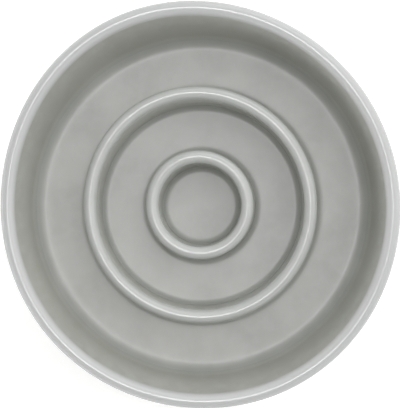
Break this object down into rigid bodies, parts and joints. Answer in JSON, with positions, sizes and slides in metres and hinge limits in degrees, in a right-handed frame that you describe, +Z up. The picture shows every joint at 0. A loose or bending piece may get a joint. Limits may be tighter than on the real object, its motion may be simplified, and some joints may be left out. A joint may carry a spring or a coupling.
{
  "type": "slow feeder bowl",
  "caption": "Round glazed stoneware pet bowl with concentric raised rings in its floor that slow down eating, standing on a rubber grip ring.",
  "frame": {"origin": "on the surface that the bowl stands on, under the middle of the bowl", "axes": "+Z up along the bowl's axis; X and Y lie in the table plane and are alike, because every piece is round about Z"},
  "size_m": [0.2, 0.2, 0.056],
  "materials": {
    "glaze": "glossy pale grey glaze on stoneware",
    "grip_rubber": "matt"
  },
  "bodies": {
    "bowl": {"bowl_body": "glaze", "outer_feeding_ring": "glaze", "inner_feeding_ring": "glaze"},
    "grip": {"grip_ring": "grip_rubber"}
  },
  "joints": [
    {"name": "grip_ring_pull_off", "type": "slide", "parent": "bowl", "child": "grip", "axis": [0, 0, -1], "range_m": [0, 0.015]}
  ]
}
